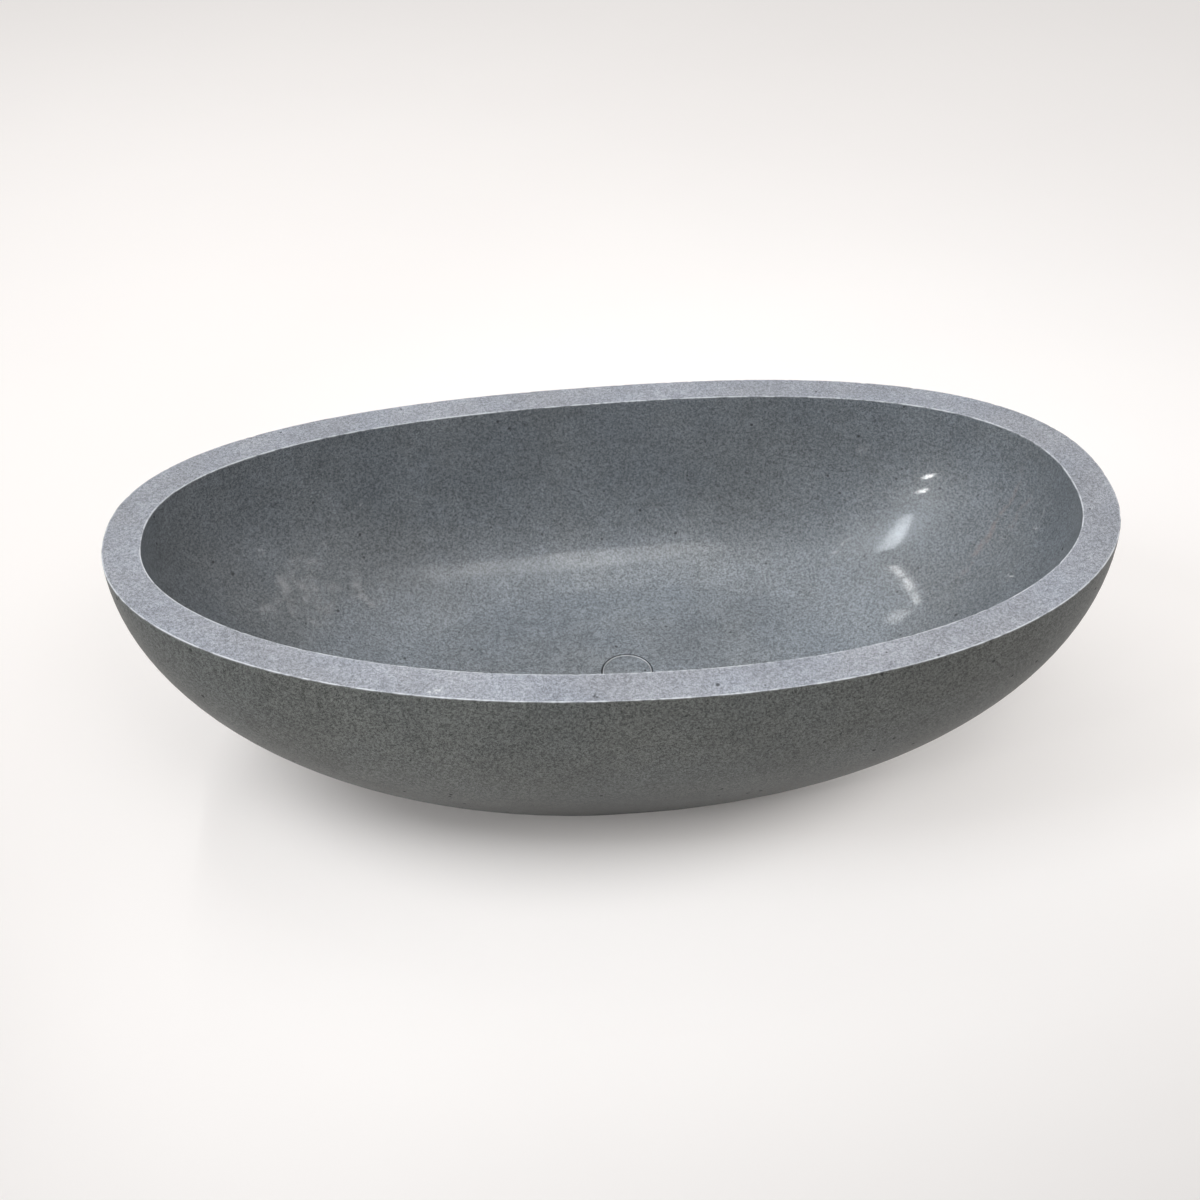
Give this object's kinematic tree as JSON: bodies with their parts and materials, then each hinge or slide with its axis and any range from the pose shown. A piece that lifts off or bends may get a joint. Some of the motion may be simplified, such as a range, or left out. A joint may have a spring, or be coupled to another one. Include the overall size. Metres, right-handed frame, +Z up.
{
  "type": "freestanding stone bath",
  "caption": "Freestanding oval bath carved from one block of basalt, with a flat rim, polished inside and a push-to-open floor waste capped with a disc of the same stone.",
  "frame": {"origin": "on the ground, under the middle of the bath's length and width", "axes": "+X along the bath towards its broader end, +Y across it, +Z up; the picture looks from -Y, a little from the left and above"},
  "size_m": [1.8, 0.935, 0.506],
  "materials": {
    "basalt": "satin",
    "cap_basalt": "satin",
    "cup_steel": "satin",
    "spring_steel": "satin",
    "washer_steel": "satin",
    "brass": "satin",
    "rubber": "matte",
    "plastic": "matte"
  },
  "bodies": {
    "tub": {"tub_shell": "basalt", "waste_body": "brass", "flange_gasket": "rubber", "lower_seal": "rubber", "slip_washer": "washer_steel", "back_nut": "brass", "barrel": "plastic", "barrel_collar": "brass", "spring": "spring_steel"},
    "cap": {"cap_stone": "cap_basalt", "cap_cup": "cup_steel", "cap_seal": "rubber", "cap_stud": "brass", "cap_lock_nut": "brass", "plunger": "brass"},
    "rotor": {"rotor": "plastic"}
  },
  "joints": [
    {"name": "cap_lift", "type": "slide", "parent": "tub", "child": "cap", "axis": [0, 0, 1], "range_m": [0, 0.009], "deforming": ["spring"]},
    {"name": "rotor_turn", "type": "hinge", "parent": "cap", "child": "rotor", "pos_m": [0.021, 0, 0.0605], "axis": [0, 0, 1], "range_deg": [0, 45]}
  ],
  "couplings": [
    {"joint": "rotor_turn", "follows": "cap_lift", "rad_per_m": 87.26}
  ]
}
